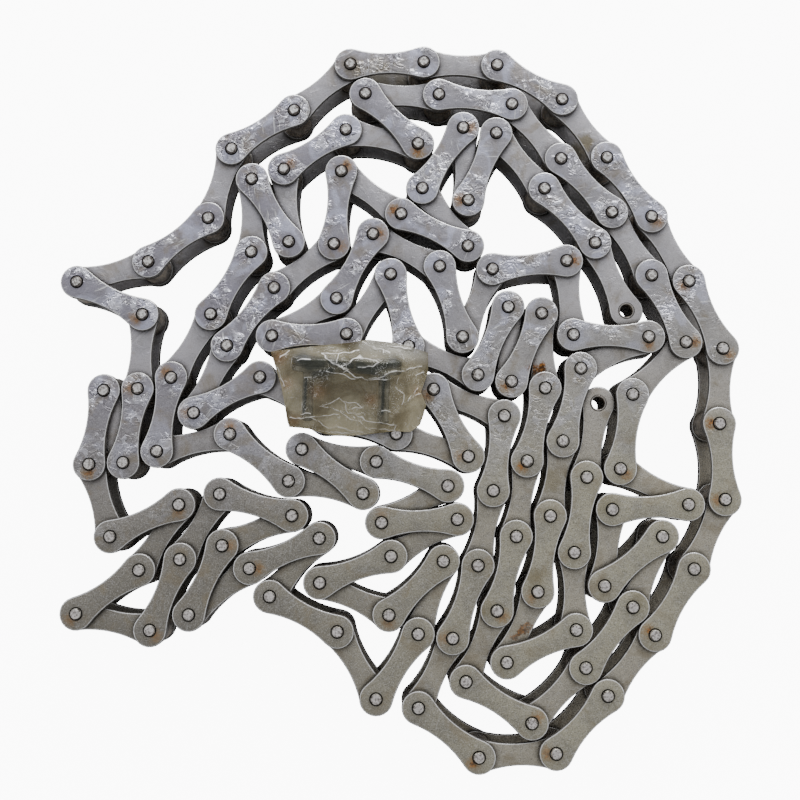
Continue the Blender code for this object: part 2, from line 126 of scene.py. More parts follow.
# Rust beside pins: the pin's number along the chain, the way to the rust in the photograph, right and up,
# and how strong it is
RUST_SPOTS = {
    5: (-1, 0, 0.7), 6: (1, 0, 0.6), 9: (-1, 0.5, 1.0), 10: (1, 1, 0.9), 14: (-1, 0, 0.5),
    18: (-1, 0, 0.5), 19: (-1, -1, 0.6), 23: (-1, 0, 0.5), 25: (-1, -1, 0.9), 26: (-1, 0, 0.6),
    28: (-1, 0.6, 1.0), 30: (-1, 0, 0.6), 31: (-1, 0, 1.0), 32: (1, -1, 0.6), 33: (-1, -1, 0.6),
    34: (1, -1, 0.6), 49: (0, -1, 0.7), 51: (0, -1, 0.5), 53: (-1, -1, 0.5), 54: (1, -1, 0.5),
    58: (1, 0, 0.5), 67: (0, -1, 0.5), 71: (0, 1, 0.4), 77: (0, 1, 0.6), 79: (-1, 1, 0.6),
    86: (0, -1, 1.0), 93: (1, 0, 0.7), 95: (1, -1, 0.6), 102: (1, 1, 0.6), 104: (1, -1, 0.6),
    106: (-1, -1, 1.0), 109: (-1, -1, 1.0), 117: (1, 0, 0.7), 121: (1, 0, 0.8), 123: (0, -1, 0.6),
    127: (-1, -1, 0.5), 46: (-1, 0, 0.5), 45: (-1, -0.6, 0.6), 60: (1, 0, 0.6), 84: (1, 1, 0.6),
    11: (1, -0.4, 0.5),
}

# How far from a pin its rust lies, in millimetres, and the two ends of a plate without any
RUST_REACH = 4.2
NO_RUST = ((0.0, 0.0, 0.0), (0.0, 0.0, 0.0))

# Old oil and orange rust on plates away from their pins: the place in pixels, the reach in millimetres,
# and the strength
OIL_STAIN_PIXELS = [((352, 66), 9, 0.6), ((378, 64), 10, 0.6), ((402, 66), 8, 0.5), ((585, 140), 8, 0.8),
                    ((552, 480), 9, 0.5), ((534, 577), 7, 0.5), ((606, 503), 9, 0.4),
                    ((640, 600), 8, 0.4), ((485, 610), 7, 0.4)]
ORANGE_STAIN_PIXELS = [((536, 367), 4.5, 1.0), ((541, 368), 4.5, 1.0), ((516, 637), 2.4, 0.7),
                       ((522, 633), 2.6, 0.8), ((528, 629), 2.4, 0.7)]

# The bag's outline in pixels, each side from left to right or from front to back
BAG_FRONT_PIXELS = [(289, 427), (300, 428), (309, 429), (325, 434), (345, 436), (370, 434), (395, 431),
                    (410, 432), (420, 425)]
BAG_BACK_PIXELS = [(271, 352), (285, 350), (300, 348), (330, 345), (352, 343), (368, 340), (392, 343),
                   (410, 347), (428, 353)]
BAG_LEFT_PIXELS = [(289, 427), (287, 421), (284, 400), (281, 385), (275, 365), (271, 352)]
BAG_RIGHT_PIXELS = [(420, 425), (424, 414), (426, 405), (421, 392), (425, 381), (428, 372), (428, 353)]
CONNECTING_PLATE_PIXELS = [(308.5, 360), (385.5, 363)]

# Folds in the film, each a line of pixels, along which a highlight is painted
FOLD_PIXELS = [
    [(339, 354), (329, 352.7), (321.4, 353), (331.6, 363.2), (344.4, 369.5), (357.1, 377.2), (364.8, 379.7)],
    [(336.7, 363.8), (339.3, 354.2), (344, 353), (359.7, 350.6)],
    [(359.7, 355.5), (350.8, 361.9), (341.8, 367), (344, 370)],
    [(349.5, 361.9), (359.7, 356.8), (372.4, 360), (378.8, 363.4), (372.4, 367), (358.4, 367.2)],
    [(326.5, 372.1), (339.3, 374), (352, 377.8), (372.4, 380.4), (387.8, 379.1)],
    [(320.2, 406.5), (329.1, 402.7), (339.3, 397.6), (345.7, 404), (348.2, 412.9), (362.2, 414.8)],
    [(320.2, 406.5), (331.6, 407.8), (341.8, 412.9), (350.8, 419.3), (361, 421.8), (371.2, 430.8)],
    [(344.4, 401.4), (355.9, 404), (362.2, 407.8), (352, 409.1)],
    [(288.9, 417.4), (301, 418), (311.2, 418), (321.4, 423.1), (327.8, 427.6), (341.8, 428), (354.6, 430.8)],
    [(357, 415), (362, 418), (368, 422), (382.7, 423.8), (395.4, 425), (392.9, 430.8)],
    [(301, 414.2), (306.1, 412.9), (311.2, 414.8)], [(391.6, 372.1), (401.8, 372.1), (409.4, 368.3)],
    [(399.2, 377.2), (396, 384.8)], [(297.2, 360.6), (310, 360)], [(304.8, 379.1), (311.2, 377.8)],
    [(423.5, 370.8), (415.8, 375.9)], [(417.1, 388.7), (408.2, 401.4)], [(280.6, 356.8), (288.3, 351)],
    [(381, 412), (386, 411), (391, 412.5)], [(372, 346), (384, 350), (383, 353)],
    [(388, 346), (402, 347), (410, 350)], [(362, 342), (370, 346), (380, 350), (390, 353)],
    [(369, 378), (378, 379), (390, 373), (402, 372), (410, 368), (422, 366)],
    [(338, 367), (348, 370), (344, 373)], [(330, 432), (350, 433), (372, 432)],
    [(310, 418), (324, 416), (338, 414)], [(370, 428), (394, 430)], [(272, 360), (280, 374), (284, 386)],
    [(410, 400), (420, 394)], [(414, 398), (416, 390)], [(395, 388), (404, 394), (402, 404)],
]
# The first few of these get the brightest painted highlight
BRIGHTEST_FOLDS = 5
FAINT_FOLD = 0.75
# How far, in pixels, a fold strays from its straight parts, its painted highlight reaches, and its ridge
# reaches
FOLD_SWAY = 2.0
CREASE_REACH = 0.4
FOLD_REACH = 1.3
SHARP_FOLD_HEIGHT = 0.5 * MM
SOFT_FOLD_HEIGHT = 0.55 * MM

# Marks on the film, each a place or a line of pixels and its reach: orange stains, the place where it is
# clearest, where a pale reflection is painted, and where the film is painted dark over the plates in the
# bag, partly for their dark steel and partly as shade
STAIN_PIXELS = [((279, 358), 9), ((294, 421), 7), ((287, 384), 8), ((318, 392), 9), ((417, 392), 6),
                ((371, 400), 7)]
CLEAR_CORNER_PIXELS = [((412, 350), 9.0)]
PALE_REFLECTION_PIXELS = [([(366, 345), (396, 349), (424, 356)], 9.0)]
DARK_PARTS_AND_SHADE_PIXELS = [([(302, 358), (310, 366), (322, 364)], 11.0), ([(315, 374), (330, 371)], 8.0),
                 ([(330, 362), (352, 366)], 6.0), ([(360, 366), (372, 369), (394, 363)], 10.0),
                 ([(306, 378), (304, 412)], 2.6), ([(384, 376), (382, 414)], 2.6)]

# Settling of the strands against each other
PULLED_ROUNDS = 300
FREE_ROUNDS = 300
FIRST_PULL = 0.1
DISCS_IN_PLATE = 7
# Points on the round end of a plate in the solids
SOLID_END_POINTS = 4

END_RADIUS = PLATE_DEPTH / 2
WAIST_RADIUS = ((PITCH / 2) ** 2 + (PLATE_WAIST / 2) ** 2 - END_RADIUS ** 2) / (2 * END_RADIUS - PLATE_WAIST)
WAIST_CENTRE = PLATE_WAIST / 2 + WAIST_RADIUS

BOTTOM_OUTER = PIN_HEAD_HEIGHT
BOTTOM_INNER = BOTTOM_OUTER + PLATE_THICKNESS + PLATE_SIDE_GAP
ROLLER_BASE = BOTTOM_INNER + PLATE_THICKNESS
TOP_INNER = ROLLER_BASE + INNER_WIDTH
TOP_OUTER = TOP_INNER + PLATE_THICKNESS + PLATE_SIDE_GAP
CHAIN_TOP = TOP_OUTER + PLATE_THICKNESS + PIN_HEAD_HEIGHT
BAG_BASE = CHAIN_TOP + SEAT_GAP
BAG_FLOOR = BAG_BASE + FILM
COVER_OFFSET = PLATE_THICKNESS + COVER_GAP
CONNECTING_LEAN = atan2(END_RADIUS - PIN_DIAMETER / 2,
                        CONNECTING_PIN_LENGTH - COVER_OFFSET - PLATE_THICKNESS)
CONNECTING_CENTRE = (BAG_FLOOR + SEAT_GAP + END_RADIUS * cos(CONNECTING_LEAN)
                     + (COVER_OFFSET + PLATE_THICKNESS / 2) * sin(CONNECTING_LEAN))


def floor_places(pixels, height):
    """The places on a level plane that the photograph's pixels show, in metres."""
    across, along = (np.array(pixels, float) - VIEW_CENTRE_PIXELS).T / FOCAL_PIXELS
    rays = np.stack([across, -along, -np.ones(len(across))], axis=1)
    rays = rays @ np.array(camera_turn()).T
    reach = (height - CAMERA_HEIGHT) / rays[:, 2]
    return rays[:, :2] * np.reshape(reach, (-1, 1))


def camera_turn():
    return Matrix.Rotation(CAMERA_ROLL, 3, "Y") @ Matrix.Rotation(CAMERA_TILT, 3, "X")


def half_depth(along):
    """Half the plate's depth at a distance from its middle, between the two pins."""
    return hypot(along, WAIST_CENTRE) - WAIST_RADIUS


def hold_pitch(places):
    """Makes each link one pitch long by moving both its ends, every second link at a time."""
    for first in (0, 1):
        steps = places[first + 1::2] - places[first:-1:2]
        lengths = np.linalg.norm(steps, axis=1, keepdims=True)
        moves = steps * (0.5 * (1 - PITCH / lengths))
        places[first:-1:2] += moves
        places[first + 1::2] -= moves


def strand_discs(places, starts):
    """The plates of one level as rows of discs: centres, radii, and shares of each link's far pin."""
    shares = np.linspace(0, 1, DISCS_IN_PLATE)
    radii = [half_depth((share - 0.5) * PITCH) for share in shares]
    centres = places[starts, None] * (1 - shares)[:, None] + places[starts + 1, None] * shares[:, None]
    return centres.reshape(-1, 2), np.tile(radii, len(starts)), np.tile(shares, len(starts))


def near_pairs(places, starts):
    """Pairs of discs of different plates that could touch while the strands settle."""
    centres, radii, _ = strand_discs(places, starts)
    links = np.repeat(np.arange(len(starts)), DISCS_IN_PLATE)
    gaps = np.linalg.norm(centres[:, None] - centres[None], axis=2) - radii[:, None] - radii[None]
    return np.nonzero(np.triu((links[:, None] != links[None]) & (gaps < PLATE_DEPTH / 2)))


def keep_apart(places, starts, pairs):
    """Pushes apart the plates of one level that would touch."""
    centres, radii, shares = strand_discs(places, starts)
    one, other = pairs
    offsets = centres[one] - centres[other]
    gaps = np.linalg.norm(offsets, axis=1)
    lacking = np.maximum(radii[one] + radii[other] + STRAND_CLEARANCE - gaps, 0)
    push = offsets * (0.25 * lacking / gaps)[:, None]
    for disc, sign in ((one, 1), (other, -1)):
        first = starts[disc // DISCS_IN_PLATE]
        share = shares[disc][:, None]
        np.add.at(places, first, sign * push * (1 - share))
        np.add.at(places, first + 1, sign * push * share)


def settled_places():
    """The centre of every pin in the camera's floor frame, as in the solids, and the scale."""
    places = floor_places(PIN_PIXELS, CHAIN_TOP)
    bush_ends = floor_places(PIN_PIXELS, TOP_OUTER)
    places[0], places[-1] = bush_ends[0], bush_ends[-1]
    scale = PITCH / np.linalg.norm(np.diff(places, axis=0), axis=1).mean()
    places *= scale
    read_places = places.copy()
    levels = [np.arange(kind, len(places) - 1, 2) for kind in (0, 1)]
    pairs = [near_pairs(places, starts) for starts in levels]
    for settled in range(PULLED_ROUNDS + FREE_ROUNDS):
        pull = FIRST_PULL * max(0, 1 - settled / PULLED_ROUNDS)
        places += (read_places - places) * pull
        for starts, level_pairs in zip(levels, pairs):
            keep_apart(places, starts, level_pairs)
        hold_pitch(places)
    return places, scale


def frame_middle(places):
    """The middle of the heap in the camera's floor frame, from where the free end link's solid lies."""
    low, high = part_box("end_link_a")
    corners = plate_corners(places, 0)
    return (corners.min(axis=0) + corners.max(axis=0)) / 2 - (np.array(low) + np.array(high))[:2] / 2


def plate_corners(places, link):
    """Corners of the solids' plate where it lies."""
    along = (places[link + 1] - places[link]) / PITCH
    middle = (places[link] + places[link + 1]) / 2
    meet = atan2(WAIST_CENTRE, -PITCH / 2)
    angles = np.linspace(-meet, meet, SOLID_END_POINTS)
    half = np.stack([PITCH / 2 + END_RADIUS * np.cos(angles), END_RADIUS * np.sin(angles)], axis=1)
    return middle + np.concatenate([half, -half]) @ np.array([along, (-along[1], along[0])])


def is_inner(link):
    return link % 2 == 0


# Templates: a shape's points, faces and what each face is

CAP, RIM, WALL = 0.0, 0.5, 1.0
END_STEPS = 14
WAIST_STEPS = 8
RIM_STEPS = 3
HOLE_STEPS = 20
ROLLER_STEPS = 32
PIN_STEPS = 20
FREE_PIN_STEPS = 24
# The least angle between faces that shows as a sharp edge
SHARP_ANGLE = radians(38)
# Pins with a small square end lie mostly in the upper part of the heap, over this much of it
PRESSED_SPREAD = 120 * MM


def outline_with_normals():
    """The plate's outline, anticlockwise, with the outward direction at each point."""
    half = PLATE_SEEN_WAIST / 2
    radius = ((PITCH / 2) ** 2 + half ** 2 - END_RADIUS ** 2) / (2 * END_RADIUS - PLATE_SEEN_WAIST)
    reach = half + radius
    meet, spread = atan2(reach, -PITCH / 2), atan2(PITCH / 2, reach)
    end = np.linspace(-meet, meet, END_STEPS + 1)
    waist = np.linspace(spread, -spread, WAIST_STEPS + 1)[1:-1]
    end_out = np.stack([np.cos(end), np.sin(end)], axis=1)
    waist_out = np.stack([-np.sin(waist), np.cos(waist)], axis=1)
    points = np.concatenate([(PITCH / 2, 0) + end_out * END_RADIUS, (0, reach) - waist_out * radius])
    out = np.concatenate([end_out, waist_out])
    return np.concatenate([points, -points]), np.concatenate([out, -out])


def circle(centre, radius, steps):
    angles = np.arange(steps) * (2 * pi / steps)
    return np.array(centre) + radius * np.stack([np.cos(angles), np.sin(angles)], axis=1)


class Template:
    """Points and faces that are copied many times into one mesh."""

    def __init__(self):
        self.points, self.faces, self.kinds = [], [], []

    def ring(self, flat, height):
        first = len(self.points)
        self.points += [(x, y, height) for x, y in flat]
        return list(range(first, first + len(flat)))

    def bridge(self, lower, upper, kind, flip=False):
        for here in range(len(lower)):
            there = (here + 1) % len(lower)
            self.face((lower[here], lower[there], upper[there], upper[here]), kind, flip)

    def face(self, corners, kind, flip=False):
        self.faces.append(tuple(corners)[::-1] if flip else tuple(corners))
        self.kinds.append(kind)


def add_cap(template, outline, holes, up):
    """Fills a plate's face between its outline and its two holes, one half after the other."""
    points = template.points
    for side, hole in zip((1, -1), holes):
        half = [v for v in outline if side * points[v][0] > -1e-9]
        loops = [sorted((atan2(points[v][1], side * points[v][0] - PITCH / 2) % (2 * pi), v) for v in loop)
                 for loop in (half, hole)]
        zip_loops(template, *loops, flip=up != (side > 0))


def zip_loops(template, outer, inner, flip):
    """Joins two loops about one centre with triangles, each time going on along the one that lags."""
    outer = outer + [(outer[0][0] + 2 * pi, outer[0][1])]
    inner = inner + [(inner[0][0] + 2 * pi, inner[0][1])]
    o = i = 0
    while o + 1 < len(outer) or i + 1 < len(inner):
        if i + 1 == len(inner) or (o + 1 < len(outer) and outer[o + 1][0] <= inner[i + 1][0]):
            corners = (outer[o][1], outer[o + 1][1], inner[i][1])
            o += 1
        else:
            corners = (outer[o][1], inner[i + 1][1], inner[i][1])
            i += 1
        template.face(corners, CAP, flip=flip)


def plate_template(hole_diameter, tight_diameter=0.0):
    """A side plate about its own middle, with round edges and two holes that may narrow inside."""
    template = Template()
    flat, out = outline_with_normals()
    half = PLATE_THICKNESS / 2
    rows = []
    for level in (-1, 1):
        for step in range(RIM_STEPS + 1):
            angle = (pi / 2) * (step / RIM_STEPS if level > 0 else 1 - step / RIM_STEPS)
            inset = PLATE_EDGE_RADIUS * (1 - cos(angle))
            height = level * (half - PLATE_EDGE_RADIUS * (1 - sin(angle)))
            rows.append(template.ring(flat - out * inset, height))
    for row, (lower, upper) in enumerate(zip(rows, rows[1:])):
        template.bridge(lower, upper, WALL if abs(row - RIM_STEPS) < RIM_STEPS else RIM)
    holes = [add_hole(template, (side * PITCH / 2, 0), hole_diameter, tight_diameter) for side in (1, -1)]
    add_cap(template, rows[0], [rings[0] for rings in holes], up=False)
    add_cap(template, rows[-1], [rings[-1] for rings in holes], up=True)
    return template


def add_hole(template, centre, diameter, tight_diameter):
    """The chamfered wall of a plate's hole, which may narrow below a ring at either face."""
    half = PLATE_THICKNESS / 2
    wide = circle(centre, diameter / 2 + HOLE_CHAMFER, HOLE_STEPS)
    narrow = circle(centre, diameter / 2, HOLE_STEPS)
    upper = [(narrow, half - HOLE_CHAMFER), (wide, half)]
    if tight_diameter:
        tight = circle(centre, tight_diameter / 2, HOLE_STEPS)
        upper = [(tight, half - RING_DEPTH - RING_SLOPE), (narrow, half - RING_DEPTH)] + upper
    levels = [(flat, -height) for flat, height in reversed(upper)] + upper
    rings = [template.ring(flat, height) for flat, height in levels]
    for below, above in zip(rings, rings[1:]):
        template.bridge(below, above, WALL, flip=True)
    return rings


def turned_template(profile, steps, kinds, closed=False):
    """A turned shape about Z, from a profile of radius and height that runs up its outside."""
    template = Template()
    rings = [template.ring(circle((0, 0), radius, steps), height) for radius, height in profile]
    for lower, upper, kind in zip(rings, rings[1:], kinds):
        template.bridge(lower, upper, kind)
    if closed:
        close_end(template, rings[0], profile[0][1], up=False)
        close_end(template, rings[-1], profile[-1][1], up=True)
    return template, rings


def both_ends(end, low, high):
    """A profile that is the same at both ends, from one end's points of radius and depth."""
    return [(r, low + z) for r, z in end] + [(r, high - z) for r, z in reversed(end)]


def sleeve_template(end, kinds, low, high, steps):
    """A turned sleeve with the same profile at both ends, and a bore right through."""
    profile = both_ends(end, low, high)
    return turned_template(profile + profile[:1], steps, [*kinds, WALL, *kinds[::-1], WALL])[0]


def close_end(template, ring, height, up):
    """Closes a turned shape's end with a fan."""
    middle = len(template.points)
    template.points.append((0.0, 0.0, height))
    for here in range(len(ring)):
        template.face((ring[here], ring[(here + 1) % len(ring)], middle), CAP, flip=not up)


def pin_template(facet, squareness):
    """A riveted pin from the floor to the top of the chain, with a pressed head at each end."""
    radius, head = PIN_DIAMETER / 2, PIN_HEAD_HEIGHT
    end = [(facet * radius, 0.0), ((facet + 0.06) * radius, 0.12 * head), (0.94 * radius, 0.55 * head),
           (radius, 0.8 * head)]
    kinds = [RIM, RIM, RIM, WALL, RIM, RIM, RIM]
    template, rings = turned_template(both_ends(end, 0.0, CHAIN_TOP), PIN_STEPS, kinds, closed=True)
    for ring in rings[:2] + rings[-2:]:
        press_square(template, ring, squareness)
    return template


def press_square(template, ring, squareness):
    """Makes a turned ring nearly square, as the press leaves a pin's end."""
    for vertex in ring:
        x, y, z = template.points[vertex]
        stretch = 1 - squareness * cos(4 * atan2(y, x))
        template.points[vertex] = (x * stretch, y * stretch, z)


def roller_template():
    """A roller, a little shorter than the space between the plates, with round edges."""
    radius, bore, edge = ROLLER_DIAMETER / 2, BUSH_DIAMETER / 2 + ROLLER_BORE_GAP, ROLLER_EDGE
    end = [(bore, 0.0), (radius - edge, 0.0), (radius - 0.3 * edge, 0.3 * edge), (radius, edge)]
    low, high = ROLLER_BASE + ROLLER_END_PLAY, TOP_INNER - ROLLER_END_PLAY
    return sleeve_template(end, [CAP, RIM, RIM], low, high, ROLLER_STEPS)


def bush_template():
    """A bush through both inner plates, its ends just proud of their outer faces."""
    outside, bore, edge = BUSH_DIAMETER / 2, BUSH_BORE / 2, BUSH_EDGE
    end = [(bore, edge), (bore + edge, 0.0), (outside - edge, 0.0), (outside, edge)]
    low, high = BOTTOM_INNER - BUSH_STAND_OUT, TOP_INNER + PLATE_THICKNESS + BUSH_STAND_OUT
    return sleeve_template(end, [RIM, CAP, RIM], low, high, HOLE_STEPS)


def copies_mesh(name, placed):
    """One mesh of many copies, each a template, a matrix, the rust at both ends and a seed."""
    points, faces, kinds, local, spots, seeds = ([] for _ in range(6))
    known = 0
    for template, matrix, rust, seed in placed:
        flat = np.array(template.points)
        turn = np.array(matrix)
        points.append(flat @ turn[:3, :3].T + turn[:3, 3])
        local.append(flat / MM)
        faces += [tuple(v + known for v in face) for face in template.faces]
        kinds += template.kinds
        seeds.append(np.full(len(flat), seed))
        for face in template.faces:
            on_far_end = sum(template.points[v][0] for v in face) > 0
            spots += [rust[1] if on_far_end else rust[0]] * len(face)
        known += len(flat)
    mesh = bpy.data.meshes.new(name)
    mesh.from_pydata(np.concatenate(points).tolist(), [], faces)
    add_layer(mesh, "local", "POINT", np.concatenate(local))
    add_layer(mesh, "seed", "POINT", np.concatenate(seeds))
    add_layer(mesh, "kind", "FACE", np.array(kinds))
    add_layer(mesh, "rust", "CORNER", np.array(spots, float))
    mesh.update()
    mesh.shade_smooth()
    mesh.set_sharp_from_angle(angle=SHARP_ANGLE)
    return mesh


def add_layer(mesh, title, domain, values):
    """Gives a mesh a layer of one number or one vector for each point, face or corner."""
    kind, key = ("FLOAT", "value") if values.ndim == 1 else ("FLOAT_VECTOR", "vector")
    mesh.attributes.new(title, kind, domain).data.foreach_set(key, values.ravel())


def add_piece(name, mesh, material, nodes, body):
    """Makes a mesh a piece that stands for CAD nodes and rides on a body."""
    piece = bpy.data.objects.new(name, mesh)
    mesh.materials.clear()
    mesh.materials.append(material)
    bpy.context.scene.collection.objects.link(piece)
    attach(piece, body)
    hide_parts(*nodes)
    return piece


# Materials, in which n is a material's node tree and p holds the values that the plate's layers share

DULL_GREY = (0.2, 0.19, 0.18)
WHITE = (1.0, 1.0, 1.0)
SHANK_TONE = (0.03, 0.026, 0.022)
STAIN_TONE = (0.27, 0.125, 0.035)


class Nodes:
    """Short calls for building the node tree of a material or of the world."""

    def __init__(self, owner, shader="Principled BSDF"):
        owner.use_nodes = True
        self.owner, self.tree = owner, owner.node_tree
        self.shader = self.tree.nodes[shader]

    def add(self, kind, inputs=(), **settings):
        node = self.tree.nodes.new("ShaderNode" + kind)
        for title, value in settings.items():
            setattr(node, title, value)
        for title, value in inputs.items() if isinstance(inputs, dict) else enumerate(inputs):
            self.put(node, title, value)
        return node

    def put(self, node, title, value):
        socket = node.inputs[title]
        if isinstance(value, bpy.types.NodeSocket):
            self.tree.links.new(value, socket)
        else:
            is_tone = isinstance(value, tuple) and socket.type == "RGBA"
            socket.default_value = (*value, 1.0) if is_tone else value

    def surface(self, tone, metal, rough, relief=None):
        """Sets the shader's inputs, and returns the material."""
        inputs = {"Base Color": tone, "Metallic": metal, "Roughness": rough, "Normal": relief}
        for title, value in inputs.items():
            if value is not None:
                self.put(self.shader, title, value)
        return self.owner

    def place(self, output="Object"):
        return self.add("TexCoord").outputs[output]

    def attribute(self, name, output="Fac"):
        return self.add("Attribute", attribute_name=name).outputs[output]

    def parts(self, vector):
        return self.add("SeparateXYZ", {"Vector": vector}).outputs

    def level(self, x, y):
        return self.add("CombineXYZ", {"X": x, "Y": y}).outputs[0]

    def math(self, operation, *values):
        return self.add("Math", values, operation=operation).outputs[0]

    def times(self, *values):
        return reduce(lambda one, other: self.math("MULTIPLY", one, other), values)

    def plus(self, *values):
        return reduce(lambda one, other: self.math("ADD", one, other), values)

    def minus(self, one, other):
        return self.math("SUBTRACT", one, other)

    def most(self, one, other):
        return self.math("MAXIMUM", one, other)

    def off(self, value, middle=0.5):
        """How far a value is from a middle one: nearly nothing along thin curling lines of a noise."""
        return self.math("ABSOLUTE", self.minus(value, middle))

    def vector(self, operation, *values, output="Vector"):
        return self.add("VectorMath", values, operation=operation).outputs[output]

    def ramp(self, value, low, high, to_low=0.0, to_high=1.0, kind="SMOOTHSTEP"):
        return self.add("MapRange", (value, low, high, to_low, to_high), interpolation_type=kind).outputs[0]

    def noise(self, place, scale, detail=4.0, roughness=0.55, distortion=0.0):
        inputs = {"Vector": place, "Scale": scale, "Detail": detail, "Roughness": roughness,
                  "Distortion": distortion}
        return self.add("TexNoise", inputs).outputs["Fac"]

    def mix(self, share, one, other):
        return self.add("Mix", {0: share, 6: one, 7: other}, data_type="RGBA").outputs[2]

    def layers(self, base, *layers):
        """Lays tones over a base one after another, each with its share."""
        for share, tone in layers:
            base = self.mix(share, base, tone)
        return base

    def bump(self, height, distance, strength, **below):
        inputs = {"Height": height, "Distance": distance, "Strength": strength, **below}
        return self.add("Bump", inputs).outputs[0]


def material_nodes(name):
    return Nodes(bpy.data.materials.new(name))


def plate_steel(to_place):
    """Tumbled steel: mottled grey with painted light across the heap, rubbed edges with a painted highlight,
    grease smears with a painted sheen, dark walls and painted shade in the gaps, rust beside the pins.
    """
    n = material_nodes("plate_steel")
    p = plate_values(n)
    rust, stain = rust_masks(n, p)
    oil = stain_mask(n, p.place, to_place, OIL_STAIN_PIXELS)
    orange = stain_mask(n, p.place, to_place, ORANGE_STAIN_PIXELS)
    flecks = n.ramp(n.noise(p.shift, 900.0, 3.0, 0.7), 0.4, 0.62)
    rust_tone = n.mix(flecks, (0.06, 0.028, 0.012), (0.36, 0.15, 0.035))
    steel = n.layers(p.tone, *bare_layers(n, p), *grease_layers(n, p), (oil, (0.2, 0.165, 0.085)),
                     (stain, (0.34, 0.21, 0.085)), (n.most(rust, orange), rust_tone), *edge_and_shade_layers(n, p))
    metal = n.times(n.minus(0.8, n.times(p.wall, 0.35)), n.minus(1.0, rust))
    glossy = n.plus(n.times(p.grease, 0.16), n.times(p.rim, 0.12))
    rough = n.plus(n.minus(n.ramp(p.mottle, 0.3, 0.7, 0.36, 0.52), glossy), n.times(rust, 0.35))
    return n.surface(steel, metal, rough, plate_relief(n, p))


def plate_values(n):
    """What the plate's layers share: places, faces, the part of the heap, grain and grease."""
    p = SimpleNamespace(place=n.place(), local=n.attribute("local", "Vector"), seed=n.attribute("seed"))
    p.shift = n.vector("ADD", p.place, n.level(p.seed, p.seed))
    p.tone, p.upper, p.right = heap_tone_with_painted_light(n, p.place)
    p.height = n.parts(p.place)["Z"]
    p.outer = n.ramp(p.height, TOP_OUTER, TOP_OUTER + PLATE_THICKNESS / 2, 0.12, 1.0)
    p.oily = n.times(p.upper, p.outer)
    p.mottle, p.speckle = n.noise(p.shift, 420.0, 3.0, 0.6), n.noise(p.shift, 1800.0, 2.0, 0.6)
    p.calm = n.ramp(p.upper, 0.0, 1.0, 1.0, 0.45)
    p.smear = n.noise(p.shift, 80.0, 3.0, 0.52, 2.4)
    p.wet = n.times(n.ramp(n.noise(p.shift, 52.0, 3.0), 0.47, 0.55, 0.06, 1.0), p.oily)
    p.grease = n.times(n.ramp(p.smear, 0.53, 0.55), p.wet)
    kind = n.attribute("kind")
    edge = n.ramp(kind, 0.2, 0.45)
    p.face, p.wall = n.minus(1.0, edge), n.ramp(kind, 0.6, 0.9)
    p.rim = n.times(edge, n.ramp(kind, 0.8, 0.55))
    return p


def bare_layers(n, p):
    """Pale inner plates, clouds, a painted lilac sheen on the upper plates, and mottled and speckled grain.
    """
    paler = n.times(n.ramp(p.outer, 0.2, 0.8, 0.65, 0.0), n.most(p.upper, p.right))
    clouds, painted_sheen = n.noise(p.shift, 70.0, 3.0, 0.6, 0.6), n.noise(p.shift, 60.0, 2.0, 0.5, 0.8)
    return [(paler, n.mix(p.upper, (0.5, 0.455, 0.375), (0.64, 0.62, 0.64))),
            (n.ramp(clouds, 0.4, 0.7, 0.0, 0.38), DULL_GREY),
            # Painted sheen: soft lilac-white patches of reflected light on the upper outer plates.
            (n.times(n.ramp(painted_sheen, 0.5, 0.62, 0.0, 0.6), p.oily), (0.66, 0.68, 0.86)),
            (n.times(n.ramp(p.mottle, 0.5, 0.66, 0.0, 0.25), p.calm), DULL_GREY),
            (n.times(n.ramp(p.mottle, 0.46, 0.3, 0.0, 0.2), p.calm), (0.66, 0.65, 0.65)),
            (n.times(n.ramp(p.speckle, 0.52, 0.66, 0.0, 0.6), p.calm), (0.13, 0.125, 0.12)),
            (n.times(n.ramp(p.speckle, 0.46, 0.32, 0.0, 0.4), p.calm), (0.75, 0.74, 0.73))]


def grease_layers(n, p):
    """Brown film, glossy smears painted pale as reflections on the grease, with dark borders, and thin
    bright lines, mostly on the upper half.
    """
    brown = n.ramp(n.noise(p.shift, 65.0, 4.0, 0.62, 0.8), 0.5, 0.68, 0.0, 0.5)
    border = n.ramp(n.off(p.smear, 0.52), 0.003, 0.014, 1.0, 0.0)
    # Painted reflection: the pale blue-white of the grease smears stands in for light on the grease.
    return [(brown, (0.27, 0.22, 0.14)), (n.times(p.grease, 0.65), (0.9, 0.9, 1.0)),
            (n.times(border, p.wet, 0.9), (0.08, 0.075, 0.07)), (bright_lines(n, p), WHITE)]


def bright_lines(n, p):
    """Thin bright curls in the grease, painted as glints on its wrinkles, and bunches of straight scratches,
    each plate's at its own angle.
    """
    ridge = n.off(n.noise(p.shift, 170.0, 2.0, 0.5, 2.4))
    where = n.ramp(n.noise(p.shift, 80.0, 2.0), 0.5, 0.56)
    # Painted glints: the curls are light caught on wrinkles in the grease.
    glint_curls = n.times(n.ramp(ridge, 0.008, 0.02, 1.0, 0.0), p.wet, where)
    turn = {"Vector": p.local, "Angle": n.times(p.seed, 2 * pi)}
    turned = n.add("VectorRotate", turn, rotation_type="Z_AXIS").outputs[0]
    stretched = n.vector("ADD", n.vector("MULTIPLY", turned, (0.07, 1.3, 1.0)), p.shift)
    bunch = n.ramp(n.noise(p.shift, 70.0, 2.0), 0.5, 0.6, 0.0, 0.85)
    scratch = n.ramp(n.noise(stretched, 1.0, 2.0, 0.6), 0.6, 0.66)
    return n.most(glint_curls, n.times(scratch, bunch, n.ramp(p.oily, 0.0, 1.0, 0.15, 0.65)))


